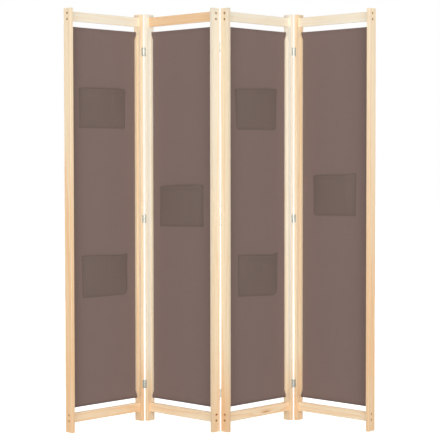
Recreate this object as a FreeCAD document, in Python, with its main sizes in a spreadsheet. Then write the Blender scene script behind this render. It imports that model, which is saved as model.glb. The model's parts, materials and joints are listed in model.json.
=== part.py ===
import FreeCAD, Part
import math
import os
import types

import Sketcher

# Fabric folding screen: four wooden frames with stretched cloth, hinged in a zigzag.
# Lengths are millimetres. +Z is up, +X runs along the screen, and the front faces -Y.
# The origin lies on the floor at the middle of the standing screen.
# Each panel is drawn in its own frame: X from its left outer side to its right one,
# Y from its front face to its back face, Z from the floor.

DRIVING_SIZES = {
    # Panel frame, and the angle between each panel and the line of the screen
    "panel_width": 400,
    "panel_height": 1700,
    "heading": 45.5,
    "stile_width": 15,
    "stile_depth": 40,
    "rail_height": 38,
    "rail_thickness": 15,
    "top_rail_drop": 13,
    "bottom_rail_lift": 39,
    "edge_round": 1.2,
    # Screws that hold a rail between its stiles
    "frame_screw_pitch": 24,
    "frame_screw_length": 42,
    "frame_screw_diameter": 4,
    "frame_screw_head_diameter": 10,
    "frame_screw_head_height": 2.8,
    "frame_screw_head_bevel": 1,
    "frame_screw_sink": 1.2,
    "frame_screw_tip": 5,
    "frame_screw_cross": 5.4,
    # Cloth, and the strips in front of its side edges
    "fabric_top_gap": 21,
    "fabric_bottom_gap": 19,
    "fabric_setback": 28,
    "fabric_thickness": 0.8,
    "fabric_tuck": 3.5,
    "soft_gap": 0.3,
    "strip_width": 9,
    "strip_thickness": 5,
    "strip_end_inset": 8,
    "strip_bevel": 24,
    "brad_diameter": 1.4,
    "brad_bite": 7,
    "brad_sink": 0.6,
    "brad_end_inset": 40,
    # Patch pockets
    "pocket_width": 246,
    "pocket_height": 170,
    "pocket_upper_top": 1392,
    "pocket_lower_top": 712,
    "pocket_second_top": 993,
    "pocket_fourth_top": 1040,
    "pocket_mouth": 10.6,
    "pocket_belly": 9.8,
    "pocket_belly_rise": 34,
    "pocket_side_slope": 26,
    "pocket_seam": 7,
    "pocket_seam_thickness": 1.8,
    "pocket_wall": 1,
    # Hinges
    "hinge_inset": 155,
    "hinge_gap": 0.8,
    "leaf_height": 34,
    "leaf_width": 9.5,
    "leaf_thickness": 1.1,
    "knuckle_gap": 0.25,
    "knuckle_lift": 0.15,
    "pin_diameter": 2.5,
    "pin_proud": 0.8,
    "pin_bevel": 0.5,
    "running_clearance": 0.05,
    "hinge_screw_pitch": 20,
    "hinge_screw_inset": 5.6,
    "hinge_screw_length": 12,
    "hinge_screw_diameter": 2.4,
    "hinge_screw_sink": 0.1,
    "hinge_screw_tip": 3,
    "hinge_screw_cross": 2.6,
    # Shared by the screws and brads
    "screw_clearance": 0.05,
    "screw_hole_spare": 1,
    "screw_point": 0.4,
    "cross_width": 0.9,
    "cross_depth": 0.8,
}
BRADS_PER_STRIP = 6
HINGES_PER_ROW = 3
KNUCKLES = 5
PANELS = ("panel_1", "panel_2", "panel_3", "panel_4")
SIDES = ("left", "right")
# Neighbouring panels of each hinge row, and the face on which its knuckles stand
HINGE_ROWS = {
    "hinge_1_2": ("panel_1", "panel_2", "front"),
    "hinge_2_3": ("panel_2", "panel_3", "back"),
    "hinge_3_4": ("panel_3", "panel_4", "front"),
}

UP = FreeCAD.Vector(0, 0, 1)
# Marks a step of a pattern that takes the pattern's own spacing
SAME_SPACING = -1.0


# Sizes that know their number and their formula in the sheet

class Size:
    """A length held both as a number and as the sheet formula that gives it."""

    def __init__(self, value, text):
        self.value = value
        self.text = text

    def __add__(self, other):
        other = as_size(other)
        return Size(self.value + other.value, f"({self.text} + {other.text})")

    def __sub__(self, other):
        other = as_size(other)
        return Size(self.value - other.value, f"({self.text} - {other.text})")

    def __mul__(self, other):
        other = as_size(other)
        return Size(self.value * other.value, f"({self.text} * {other.text})")

    def __rmul__(self, other):
        return as_size(other) * self

    def __truediv__(self, other):
        other = as_size(other)
        return Size(self.value / other.value, f"({self.text} / {other.text})")

    def __neg__(self):
        return ZERO - self


def as_size(number):
    """A plain number as a Size, or the Size itself."""
    if isinstance(number, Size):
        return number
    return Size(float(number), str(number))


ZERO = as_size(0)

doc = FreeCAD.newDocument("folding_screen")
sheet = doc.addObject("Spreadsheet::Sheet", "Sizes")
for row, (alias, number) in enumerate(DRIVING_SIZES.items(), start=1):
    sheet.set(f"A{row}", str(number))
    sheet.setAlias(f"A{row}", alias)
doc.recompute()
s = types.SimpleNamespace()
for alias in DRIVING_SIZES:
    setattr(s, alias, Size(float(sheet.get(alias)), f"Sizes.{alias}"))

# Places worked out from the driving sizes

MID_DEPTH = s.stile_depth / 2
RAIL_LENGTH = s.panel_width - 2 * s.stile_width
RAIL_FRONT = MID_DEPTH - s.rail_thickness / 2
TOP_RAIL_BASE = s.panel_height - s.top_rail_drop - s.rail_height
RAIL_SPACING = TOP_RAIL_BASE - s.bottom_rail_lift
SCREW_LIFT = s.rail_height / 2 - s.frame_screw_pitch / 2
LOW_SCREW = s.bottom_rail_lift + SCREW_LIFT

FABRIC_BASE = s.bottom_rail_lift + s.rail_height + s.fabric_bottom_gap
FABRIC_HEIGHT = TOP_RAIL_BASE - s.fabric_top_gap - FABRIC_BASE
STRIP_BACK = s.fabric_setback - s.soft_gap
STRIP_MID_DEPTH = STRIP_BACK - s.strip_thickness / 2
STRIP_BASE = FABRIC_BASE + s.strip_end_inset
STRIP_LENGTH = FABRIC_HEIGHT - 2 * s.strip_end_inset
LOW_BRAD = STRIP_BASE + s.brad_end_inset
BRAD_SPACING = (STRIP_LENGTH - 2 * s.brad_end_inset) / (BRADS_PER_STRIP - 1)

HINGE_SPACING = (s.panel_height - 2 * s.hinge_inset) / (HINGES_PER_ROW - 1)
LOW_HINGE = s.hinge_inset - s.panel_height / 2
KNUCKLE_LENGTH = (s.leaf_height - (KNUCKLES - 1) * s.knuckle_gap) / KNUCKLES
KNUCKLE_PITCH = KNUCKLE_LENGTH + s.knuckle_gap
PIN_RADIUS = s.pin_diameter / 2
BORE_RADIUS = PIN_RADIUS + s.running_clearance
KNUCKLE_RADIUS = BORE_RADIUS + s.leaf_thickness
LEAF_EDGE = KNUCKLE_RADIUS + s.knuckle_gap
LEAF_REACH = s.hinge_gap / 2 + s.leaf_width
AXIS_OFFSET = KNUCKLE_RADIUS + s.knuckle_lift
LEAF_FACE = AXIS_OFFSET - s.leaf_thickness
HINGE_SCREW_SPOT = -(s.hinge_gap / 2 + s.hinge_screw_inset)
HINGE_SCREW_RADIUS = s.hinge_screw_diameter / 2
HINGE_SCREW_HEAD = s.leaf_thickness - s.hinge_screw_sink
HINGE_SCREW_BITE = s.hinge_screw_length + s.hinge_screw_sink - s.leaf_thickness


# Drawing helpers

def bind(item, name, length):
    """Tie one property of a document object to the sheet."""
    item.setExpression(name, length.text)


def origin_item(body, role):
    return next(item for item in body.Origin.OriginFeatures if item.Role == role)


def new_body(label, placement):
    body = doc.addObject("PartDesign::Body", label)
    body.Label = label
    body.Placement = placement
    return body


def new_sketch(body, name, plane, at):
    """A sketch on an origin plane, moved along its own two axes and its normal."""
    sketch = body.newObject("Sketcher::SketchObject", name)
    sketch.AttachmentSupport = [(origin_item(body, plane), "")]
    sketch.MapMode = "FlatFace"
    for axis, length in zip("xyz", at):
        bind(sketch, f"AttachmentOffset.Base.{axis}", length)
    return sketch


def pin_corner(sketch, index, kind, length):
    """Hold one coordinate of a corner at a distance from the sketch's origin."""
    if length is ZERO:
        axis = -2 if kind == "DistanceX" else -1
        sketch.addConstraint(Sketcher.Constraint("PointOnObject", index, 1, axis))
        return
    ends = (-1, 1, index, 1)
    if length.value < 0:
        ends = (index, 1, -1, 1)
        length = -length
    number = sketch.addConstraint(Sketcher.Constraint(kind, *ends, length.value))
    bind(sketch, f"Constraints[{number}]", length)


def draw_polygon(sketch, corners):
    """A closed outline whose corners are all tied to the sheet."""
    points = [FreeCAD.Vector(x.value, y.value, 0) for x, y in corners]
    for index, point in enumerate(points):
        following = points[(index + 1) % len(points)]
        sketch.addGeometry(Part.LineSegment(point, following), False)
    for index in range(len(points)):
        following = (index + 1) % len(points)
        sketch.addConstraint(Sketcher.Constraint("Coincident", index, 2, following, 1))
    for index, (x, y) in enumerate(corners):
        pin_corner(sketch, index, "DistanceX", x)
        pin_corner(sketch, index, "DistanceY", y)


def draw_rectangle(sketch, width, height):
    draw_polygon(sketch, [(ZERO, ZERO), (width, ZERO), (width, height), (ZERO, height)])


def draw_circle(sketch, radius):
    sketch.addGeometry(Part.Circle(FreeCAD.Vector(0, 0, 0), UP, radius.value), False)
    sketch.addConstraint(Sketcher.Constraint("Coincident", 0, 3, -1, 1))
    number = sketch.addConstraint(Sketcher.Constraint("Radius", 0, radius.value))
    bind(sketch, f"Constraints[{number}]", radius)


def draw_cross(sketch, arm_length):
    """A plus-shaped outline with its lower left corner at the sketch's origin."""
    near = arm_length / 2 - s.cross_width / 2
    far = arm_length / 2 + s.cross_width / 2
    steps = [(near, ZERO), (far, ZERO), (far, near), (arm_length, near), (arm_length, far), (far, far)]
    steps += [(far, arm_length), (near, arm_length), (near, far), (ZERO, far), (ZERO, near), (near, near)]
    draw_polygon(sketch, steps)


def pad(body, name, sketch, length):
    feature = body.newObject("PartDesign::Pad", name)
    feature.Profile = sketch
    bind(feature, "Length", length)
    return feature


def revolve(body, name, sketch, axis):
    feature = body.newObject("PartDesign::Revolution", name)
    feature.Profile = sketch
    feature.ReferenceAxis = (sketch, [axis])
    feature.Angle = 360
    return feature


def check_cut(body, feature, before):
    """Stop if a cut took nothing away."""
    doc.recompute()
    if feature.Shape.Volume >= before - 1e-6:
        raise RuntimeError(f"{feature.Label} in {body.Label} cuts nothing")


def cut(body, name, sketch, depth, along_normal):
    """A straight cut of a given depth, along the sketch's normal or against it."""
    doc.recompute()
    before = body.Shape.Volume
    feature = body.newObject("PartDesign::Pocket", name)
    feature.Profile = sketch
    bind(feature, "Length", depth)
    feature.Reversed = along_normal
    check_cut(body, feature, before)
    return feature


def groove(body, name, sketch, axis):
    """A turned cut about one axis of its sketch."""
    doc.recompute()
    before = body.Shape.Volume
    feature = body.newObject("PartDesign::Groove", name)
    feature.Profile = sketch
    feature.ReferenceAxis = (sketch, [axis])
    feature.Angle = 360
    check_cut(body, feature, before)
    return feature


def repeat(body, name, features, *rows):
    """Copies of some features in one row, or in rows of rows: (axis, spacing, count) each."""
    doc.recompute()
    pattern = body.newObject("PartDesign::LinearPattern", name)
    pattern.Originals = features
    for ending, (axis, spacing, count) in zip(("", "2"), rows):
        setattr(pattern, f"Direction{ending}", (origin_item(body, axis), [""]))
        setattr(pattern, f"Mode{ending}", "Spacing")
        setattr(pattern, f"Occurrences{ending}", count)
        setattr(pattern, f"Spacings{ending}", [SAME_SPACING] * (count - 1))
        bind(pattern, f"Offset{ending}", spacing)
    body.Tip = pattern
    return pattern


def ease_edges(body, name, base, direction):
    """Round the edges of a board that run along its length."""
    doc.recompute()
    edges = []
    for number, edge in enumerate(base.Shape.Edges, start=1):
        if abs(edge.tangentAt(edge.FirstParameter).dot(direction)) > 0.99:
            edges.append(f"Edge{number}")
    feature = body.newObject("PartDesign::Fillet", name)
    feature.Base = (base, edges)
    bind(feature, "Radius", s.edge_round)
    return feature


# Where the panels and the hinge rows stand

def panel_turn(panel):
    """The first and third panels run away from the viewer, the others come back."""
    runs_away = PANELS.index(panel) % 2 == 0
    return s.heading.value if runs_away else -s.heading.value


def axis_in_panel(side, face):
    """A hinge axis in the frame of the panel on one side of it, at half height."""
    reach = s.hinge_gap.value / 2
    along = s.panel_width.value + reach if side == "right" else -reach
    offset = AXIS_OFFSET.value
    depth = -offset if face == "front" else s.stile_depth.value + offset
    return FreeCAD.Vector(along, depth, 0)


def panel_placements():
    """Chain the panels from the middle hinge row outwards, centred on the origin."""
    first, second, third, fourth = PANELS
    turns = {panel: FreeCAD.Rotation(UP, panel_turn(panel)) for panel in PANELS}
    angle = math.radians(s.heading.value)
    span = s.panel_width.value * math.sin(angle) + s.stile_depth.value * math.cos(angle)
    near_corner = FreeCAD.Vector(s.panel_width.value, 0, 0)
    corner_to_axis = turns[second].multVec(axis_in_panel("right", "back") - near_corner)
    middle_axis = FreeCAD.Vector(0, corner_to_axis.y - span / 2, 0)
    bases = {
        second: middle_axis - turns[second].multVec(axis_in_panel("right", "back")),
        third: middle_axis - turns[third].multVec(axis_in_panel("left", "back")),
    }
    first_axis = bases[second] + turns[second].multVec(axis_in_panel("left", "front"))
    bases[first] = first_axis - turns[first].multVec(axis_in_panel("right", "front"))
    last_axis = bases[third] + turns[third].multVec(axis_in_panel("right", "front"))
    bases[fourth] = last_axis - turns[fourth].multVec(axis_in_panel("left", "front"))
    return {panel: FreeCAD.Placement(bases[panel], turns[panel]) for panel in PANELS}


PLACES = panel_placements()


def hinge_placement(panel, side, face):
    """The frame of a hinge row: its Z on the pin axis, its origin at half height."""
    flips = {
        ("right", "front"): FreeCAD.Rotation(),
        ("left", "front"): FreeCAD.Rotation(FreeCAD.Vector(0, 1, 0), 180),
        ("right", "back"): FreeCAD.Rotation(FreeCAD.Vector(1, 0, 0), 180),
        ("left", "back"): FreeCAD.Rotation(UP, 180),
    }
    middle = axis_in_panel(side, face) + UP * (s.panel_height.value / 2)
    return PLACES[panel].multiply(FreeCAD.Placement(middle, flips[side, face]))


def hinge_face(panel, side):
    """The face on which a stile carries knuckles, or None at the ends of the screen."""
    for left_panel, right_panel, face in HINGE_ROWS.values():
        carrier = left_panel if side == "right" else right_panel
        if panel == carrier:
            return face
    return None


# Stiles

def stile(panel, side):
    """An upright board with its screw holes and the kerf that holds the cloth's edge."""
    body = new_body(f"{panel}_{side}_stile", PLACES[panel])
    is_left = side == "left"
    outer = ZERO if is_left else s.panel_width
    inner = s.stile_width if is_left else s.panel_width - s.stile_width
    low_corner = ZERO if is_left else inner
    section = new_sketch(body, "section", "XY_Plane", (low_corner, ZERO, ZERO))
    draw_rectangle(section, s.stile_width, s.stile_depth)
    board = pad(body, "board", section, s.panel_height)
    ease_edges(body, "eased", board, UP)
    stile_frame_holes(body, outer, is_left)
    stile_kerf(body, inner, is_left)
    stile_brad_holes(body, inner, is_left)
    face = hinge_face(panel, side)
    if face:
        stile_hinge_holes(body, is_left, face)
    return body


def stile_frame_holes(body, outer, is_left):
    """Stepped holes for the screws that reach into the rails."""
    through = new_sketch(body, "screw_hole", "YZ_Plane", (MID_DEPTH, LOW_SCREW, outer))
    draw_circle(through, s.frame_screw_diameter / 2 + s.screw_clearance)
    hole = cut(body, "screw_hole_cut", through, s.stile_width, is_left)
    seat = new_sketch(body, "head_seat", "YZ_Plane", (MID_DEPTH, LOW_SCREW, outer))
    draw_circle(seat, s.frame_screw_head_diameter / 2 + s.screw_clearance)
    step = cut(body, "head_seat_cut", seat, s.frame_screw_sink + s.frame_screw_head_height, is_left)
    rows = [("Z_Axis", s.frame_screw_pitch, 2), ("Z_Axis", RAIL_SPACING, 2)]
    repeat(body, "screw_holes", [hole, step], *rows)


def stile_kerf(body, inner, is_left):
    """A saw kerf in the inner side, into which the cloth is tucked."""
    front = s.fabric_setback - s.soft_gap
    base = FABRIC_BASE - s.soft_gap
    slot = new_sketch(body, "kerf", "YZ_Plane", (front, base, inner))
    draw_rectangle(slot, s.fabric_thickness + 2 * s.soft_gap, FABRIC_HEIGHT + 2 * s.soft_gap)
    cut(body, "kerf_cut", slot, s.fabric_tuck + s.soft_gap, not is_left)


def stile_brad_holes(body, inner, is_left):
    spot = new_sketch(body, "brad_hole", "YZ_Plane", (STRIP_MID_DEPTH, LOW_BRAD, inner))
    draw_circle(spot, s.brad_diameter / 2 + s.screw_clearance)
    hole = cut(body, "brad_hole_cut", spot, s.brad_bite + s.screw_hole_spare, not is_left)
    repeat(body, "brad_holes", [hole], ("Z_Axis", BRAD_SPACING, BRADS_PER_STRIP))


def stile_hinge_holes(body, is_left, face):
    """Holes for the hinge screws in the narrow face that carries the leaves."""
    along = s.hinge_screw_inset if is_left else s.panel_width - s.hinge_screw_inset
    height = s.hinge_inset - s.hinge_screw_pitch / 2
    behind = ZERO if face == "front" else -s.stile_depth
    spot = new_sketch(body, "hinge_hole", "XZ_Plane", (along, height, behind))
    draw_circle(spot, HINGE_SCREW_RADIUS + s.screw_clearance)
    hole = cut(body, "hinge_hole_cut", spot, HINGE_SCREW_BITE + s.screw_hole_spare, face == "back")
    rows = [("Z_Axis", s.hinge_screw_pitch, 2), ("Z_Axis", HINGE_SPACING, HINGES_PER_ROW)]
    repeat(body, "hinge_holes", [hole], *rows)


# Rails

def rail(panel, name, base):
    """A cross board between the stiles, drilled at both ends for its screws."""
    body = new_body(f"{panel}_{name}_rail", PLACES[panel])
    section = new_sketch(body, "section", "XY_Plane", (s.stile_width, RAIL_FRONT, base))
    draw_rectangle(section, RAIL_LENGTH, s.rail_thickness)
    board = pad(body, "board", section, s.rail_height)
    ease_edges(body, "eased", board, FreeCAD.Vector(1, 0, 0))
    depth = s.frame_screw_sink + s.frame_screw_length - s.stile_width + s.screw_hole_spare
    holes = []
    for side in SIDES:
        is_left = side == "left"
        end = s.stile_width if is_left else s.panel_width - s.stile_width
        spot = new_sketch(body, f"{side}_hole", "YZ_Plane", (MID_DEPTH, base + SCREW_LIFT, end))
        draw_circle(spot, s.frame_screw_diameter / 2 + s.screw_clearance)
        holes.append(cut(body, f"{side}_hole_cut", spot, depth, is_left))
    repeat(body, "holes", holes, ("Z_Axis", s.frame_screw_pitch, 2))
    return body


def frame_screws(panel):
    """The eight screws of a panel's frame, heads sunk in the outer sides of the stiles."""
    body = new_body(f"{panel}_frame_screws", PLACES[panel])
    head = s.frame_screw_head_diameter / 2
    shank = s.frame_screw_diameter / 2
    half_cross = s.frame_screw_cross / 2
    features = []
    for side in SIDES:
        is_left = side == "left"
        top = s.frame_screw_sink if is_left else s.panel_width - s.frame_screw_sink
        sign = 1 if is_left else -1
        profile = new_sketch(body, f"{side}_profile", "XY_Plane", (top, MID_DEPTH, LOW_SCREW))
        outline = [(ZERO, ZERO), (ZERO, head - s.frame_screw_head_bevel)]
        outline += [(sign * s.frame_screw_head_bevel, head), (sign * s.frame_screw_head_height, head)]
        outline += [(sign * s.frame_screw_head_height, shank)]
        outline += [(sign * (s.frame_screw_length - s.frame_screw_tip), shank)]
        outline += [(sign * s.frame_screw_length, s.screw_point), (sign * s.frame_screw_length, ZERO)]
        draw_polygon(profile, outline)
        features.append(revolve(body, f"{side}_screw", profile, "H_Axis"))
        corner = (MID_DEPTH - half_cross, LOW_SCREW - half_cross, top)
        cross = new_sketch(body, f"{side}_cross", "YZ_Plane", corner)
        draw_cross(cross, s.frame_screw_cross)
        features.append(cut(body, f"{side}_cross_cut", cross, s.cross_depth, is_left))
    rows = [("Z_Axis", s.frame_screw_pitch, 2), ("Z_Axis", RAIL_SPACING, 2)]
    repeat(body, "screws", features, *rows)
    return body


# Cloth and its strips

def fabric(panel):
    """The stretched sheet, its side edges tucked into the kerfs of the stiles."""
    body = new_body(f"{panel}_fabric", PLACES[panel])
    corner = (s.stile_width - s.fabric_tuck, s.fabric_setback, FABRIC_BASE)
    section = new_sketch(body, "section", "XY_Plane", corner)
    draw_rectangle(section, RAIL_LENGTH + 2 * s.fabric_tuck, s.fabric_thickness)
    pad(body, "sheet", section, FABRIC_HEIGHT)
    return body


def strip(panel, side):
    """A strip with sloping ends on a stile's inner side, just in front of the cloth."""
    body = new_body(f"{panel}_{side}_strip", PLACES[panel])
    is_left = side == "left"
    inner = s.stile_width if is_left else s.panel_width - s.stile_width
    reach = s.strip_width if is_left else -s.strip_width
    outline = new_sketch(body, "outline", "XZ_Plane", (inner, STRIP_BASE, -STRIP_BACK))
    long_end = STRIP_LENGTH - s.strip_bevel
    draw_polygon(outline, [(ZERO, ZERO), (reach, s.strip_bevel), (reach, long_end), (ZERO, STRIP_LENGTH)])
    pad(body, "board", outline, s.strip_thickness)
    spot = new_sketch(body, "brad_hole", "YZ_Plane", (STRIP_MID_DEPTH, LOW_BRAD, inner))
    draw_circle(spot, s.brad_diameter / 2 + s.screw_clearance)
    hole = cut(body, "brad_hole_cut", spot, s.strip_width, is_left)
    repeat(body, "brad_holes", [hole], ("Z_Axis", BRAD_SPACING, BRADS_PER_STRIP))
    return body


def strip_brads(panel):
    """Headless brads through both strips of a panel into its stiles."""
    body = new_body(f"{panel}_strip_brads", PLACES[panel])
    length = s.brad_bite + s.strip_width - s.brad_sink
    start = s.stile_width - s.brad_bite
    section = new_sketch(body, "section", "YZ_Plane", (STRIP_MID_DEPTH, LOW_BRAD, start))
    draw_circle(section, s.brad_diameter / 2)
    brad = pad(body, "brad", section, length)
    across = RAIL_LENGTH + 2 * s.brad_bite - length
    rows = [("Z_Axis", BRAD_SPACING, BRADS_PER_STRIP), ("X_Axis", across, 2)]
    repeat(body, "brads", [brad], *rows)
    return body


# Sewn pockets

def pocket_section(body, name, height, inset, back, gape):
    """One level of a pocket: a low trapezium that stands forward from the cloth."""
    left_edge = s.panel_width / 2 - s.pocket_width / 2
    face = s.fabric_setback - s.soft_gap
    sketch = new_sketch(body, name, "XY_Plane", (left_edge, face, height))
    far = s.pocket_width - inset
    near_top = s.pocket_side_slope + inset
    far_top = s.pocket_width - near_top
    draw_polygon(sketch, [(inset, back), (far, back), (far_top, -gape), (near_top, -gape)])
    return sketch


def sewn_pocket(panel, name, top):
    """A patch pocket sewn on three sides: its slack front leaves a hollow, open at the top."""
    body = new_body(f"{panel}_{name}", PLACES[panel])
    base = top - s.pocket_height
    belly = base + s.pocket_belly_rise
    wall = s.pocket_wall
    seam = s.pocket_seam
    outer = [pocket_section(body, "outer_base", base, ZERO, ZERO, s.pocket_seam_thickness)]
    outer.append(pocket_section(body, "outer_belly", belly, ZERO, ZERO, s.pocket_belly))
    outer.append(pocket_section(body, "outer_mouth", top, ZERO, ZERO, s.pocket_mouth))
    front = body.newObject("PartDesign::AdditiveLoft", "front")
    front.Profile = outer[0]
    front.Sections = outer[1:]
    front.Ruled = True
    doc.recompute()
    before = body.Shape.Volume
    low_gape = s.pocket_seam_thickness - wall
    inner = [pocket_section(body, "inner_base", base + seam, seam, wall, low_gape)]
    inner.append(pocket_section(body, "inner_belly", belly, seam, wall, s.pocket_belly - wall))
    inner.append(pocket_section(body, "inner_mouth", top, seam, wall, s.pocket_mouth - wall))
    hollow = body.newObject("PartDesign::SubtractiveLoft", "hollow")
    hollow.Profile = inner[0]
    hollow.Sections = inner[1:]
    hollow.Ruled = True
    check_cut(body, hollow, before)
    return body


# Hinges, drawn with the pin axis on Z, the stile on the -X side and its narrow face towards -Y

def hinge_leaves(label, placement, first_knuckle):
    """The leaves of one side of a hinge row: plates on the narrow face, with every other knuckle."""
    body = new_body(label, placement)
    base = LOW_HINGE - s.leaf_height / 2
    row = ("Z_Axis", HINGE_SPACING, HINGES_PER_ROW)
    plate_section = new_sketch(body, "plate_section", "XY_Plane", (-LEAF_REACH, LEAF_FACE, base))
    draw_rectangle(plate_section, LEAF_REACH - LEAF_EDGE, s.leaf_thickness)
    plate = pad(body, "plate", plate_section, s.leaf_height)
    repeat(body, "plates", [plate], row)
    knuckle_base = base + first_knuckle * KNUCKLE_PITCH
    roll_section = new_sketch(body, "roll_section", "XY_Plane", (ZERO, ZERO, knuckle_base))
    draw_circle(roll_section, KNUCKLE_RADIUS)
    roll = pad(body, "roll", roll_section, KNUCKLE_LENGTH)
    neck_reach = LEAF_EDGE + s.leaf_thickness
    neck_section = new_sketch(body, "neck_section", "XY_Plane", (-neck_reach, LEAF_FACE, knuckle_base))
    draw_rectangle(neck_section, neck_reach, s.leaf_thickness)
    neck = pad(body, "neck", neck_section, KNUCKLE_LENGTH)
    knuckles_here = len(range(first_knuckle, KNUCKLES, 2))
    repeat(body, "knuckles", [roll, neck], ("Z_Axis", 2 * KNUCKLE_PITCH, knuckles_here), row)
    bore = new_sketch(body, "bore", "XY_Plane", (ZERO, ZERO, base))
    draw_circle(bore, BORE_RADIUS)
    cut(body, "bore_cut", bore, s.panel_height, True)
    leaf_screw_holes(body, row)
    return body


def leaf_screw_holes(body, row):
    """Countersunk holes, as deep as the leaf is thick."""
    height = LOW_HINGE - s.hinge_screw_pitch / 2
    narrow = HINGE_SCREW_RADIUS + s.screw_clearance
    wide = narrow + s.leaf_thickness
    back = s.leaf_thickness
    profile = new_sketch(body, "countersink", "XY_Plane", (HINGE_SCREW_SPOT, LEAF_FACE, height))
    draw_polygon(profile, [(ZERO, ZERO), (wide, ZERO), (narrow, back), (ZERO, back)])
    hole = groove(body, "countersink_cut", profile, "V_Axis")
    repeat(body, "countersinks", [hole], ("Z_Axis", s.hinge_screw_pitch, 2), row)


def hinge_screws(label, placement):
    """The countersunk screws of one side of a hinge row."""
    body = new_body(label, placement)
    height = LOW_HINGE - s.hinge_screw_pitch / 2
    top = LEAF_FACE + s.hinge_screw_sink
    half_cross = s.hinge_screw_cross / 2
    profile = new_sketch(body, "profile", "XY_Plane", (HINGE_SCREW_SPOT, top, height))
    outline = [(ZERO, ZERO), (HINGE_SCREW_RADIUS + HINGE_SCREW_HEAD, ZERO)]
    outline += [(HINGE_SCREW_RADIUS, HINGE_SCREW_HEAD)]
    outline += [(HINGE_SCREW_RADIUS, s.hinge_screw_length - s.hinge_screw_tip)]
    outline += [(s.screw_point, s.hinge_screw_length), (ZERO, s.hinge_screw_length)]
    draw_polygon(profile, outline)
    screw = revolve(body, "screw", profile, "V_Axis")
    cross_corner = (HINGE_SCREW_SPOT - half_cross, height - half_cross, -top)
    cross = new_sketch(body, "cross", "XZ_Plane", cross_corner)
    draw_cross(cross, s.hinge_screw_cross)
    slot = cut(body, "cross_cut", cross, s.cross_depth, False)
    rows = [("Z_Axis", s.hinge_screw_pitch, 2), ("Z_Axis", HINGE_SPACING, HINGES_PER_ROW)]
    repeat(body, "screws", [screw, slot], *rows)
    return body


def hinge_pins(label, placement):
    """The pins of a hinge row, a little longer than the leaves, with bevelled ends."""
    body = new_body(label, placement)
    base = LOW_HINGE - s.leaf_height / 2 - s.pin_proud
    length = s.leaf_height + 2 * s.pin_proud
    bevel = s.pin_bevel
    profile = new_sketch(body, "profile", "XZ_Plane", (ZERO, base, ZERO))
    outline = [(ZERO, ZERO), (PIN_RADIUS - bevel, ZERO), (PIN_RADIUS, bevel)]
    outline += [(PIN_RADIUS, length - bevel), (PIN_RADIUS - bevel, length), (ZERO, length)]
    draw_polygon(profile, outline)
    single = revolve(body, "pin", profile, "V_Axis")
    repeat(body, "pins", [single], ("Z_Axis", HINGE_SPACING, HINGES_PER_ROW))
    return body


def hinge_row(name, left_panel, right_panel, face):
    """All pieces of the hinges between two panels; the pins stay in the left leaves."""
    left_place = hinge_placement(left_panel, "right", face)
    right_place = hinge_placement(right_panel, "left", face)
    return [
        hinge_leaves(f"{name}_left_leaves", left_place, 0),
        hinge_leaves(f"{name}_right_leaves", right_place, 1),
        hinge_pins(f"{name}_pins", left_place),
        hinge_screws(f"{name}_left_screws", left_place),
        hinge_screws(f"{name}_right_screws", right_place),
    ]


# The whole screen

pieces = []
for panel in PANELS:
    pieces += [stile(panel, side) for side in SIDES]
    pieces.append(rail(panel, "top", TOP_RAIL_BASE))
    pieces.append(rail(panel, "bottom", s.bottom_rail_lift))
    pieces.append(frame_screws(panel))
    pieces.append(fabric(panel))
    pieces += [strip(panel, side) for side in SIDES]
    pieces.append(strip_brads(panel))
for panel in ("panel_1", "panel_3"):
    pieces.append(sewn_pocket(panel, "upper_pocket", s.pocket_upper_top))
    pieces.append(sewn_pocket(panel, "lower_pocket", s.pocket_lower_top))
pieces.append(sewn_pocket("panel_2", "pocket", s.pocket_second_top))
pieces.append(sewn_pocket("panel_4", "pocket", s.pocket_fourth_top))
for name, (left_panel, right_panel, face) in HINGE_ROWS.items():
    pieces += hinge_row(name, left_panel, right_panel, face)

doc.recompute()
for item in doc.Objects:
    if "Invalid" in item.State or "Error" in item.State:
        raise RuntimeError(f"{item.Label} failed: {item.State}")
for piece in pieces:
    if piece.Shape.isNull() or not piece.Shape.isValid():
        raise RuntimeError(f"{piece.Label} has no valid shape")

os.makedirs("parts", exist_ok=True)
for piece in pieces:
    piece.Shape.exportStep(f"parts/{piece.Label}.step")
    box = piece.Shape.BoundBox
    print(f"{piece.Label}: {len(piece.Shape.Solids)} solids, {piece.Shape.Volume:.1f} mm3,"
          f" z {box.ZMin:.1f} to {box.ZMax:.1f}")
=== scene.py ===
# %% [markdown]
# A fabric folding screen: four wooden frames with stretched cloth, hinged in a zigzag.
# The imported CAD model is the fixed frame. Its boards, hinges and screws already have the right
# shape, so here they only get better finishes. The cloth and the pockets are soft, so each is
# made again as a thin sheet with hems, seams and stitches.

# %% Load the frame
import json
import math

import bpy
import numpy as np
from mathutils import Matrix, Vector


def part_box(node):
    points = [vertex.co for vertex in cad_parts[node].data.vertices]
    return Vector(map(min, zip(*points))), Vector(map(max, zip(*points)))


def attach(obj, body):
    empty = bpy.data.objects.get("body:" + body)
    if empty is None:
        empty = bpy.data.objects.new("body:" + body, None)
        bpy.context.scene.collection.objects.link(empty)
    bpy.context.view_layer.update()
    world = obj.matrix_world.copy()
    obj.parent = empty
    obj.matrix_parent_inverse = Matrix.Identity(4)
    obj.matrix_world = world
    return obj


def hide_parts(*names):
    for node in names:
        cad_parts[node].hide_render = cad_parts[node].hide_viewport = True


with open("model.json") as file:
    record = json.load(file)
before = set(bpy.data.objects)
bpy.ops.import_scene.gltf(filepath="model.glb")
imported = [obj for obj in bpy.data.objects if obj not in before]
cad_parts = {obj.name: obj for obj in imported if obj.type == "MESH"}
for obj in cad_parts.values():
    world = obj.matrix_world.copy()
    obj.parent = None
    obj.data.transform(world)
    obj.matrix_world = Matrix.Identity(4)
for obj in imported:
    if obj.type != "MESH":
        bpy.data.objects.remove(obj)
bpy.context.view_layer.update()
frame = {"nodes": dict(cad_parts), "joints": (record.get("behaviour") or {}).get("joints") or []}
scene = bpy.context.scene

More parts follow.
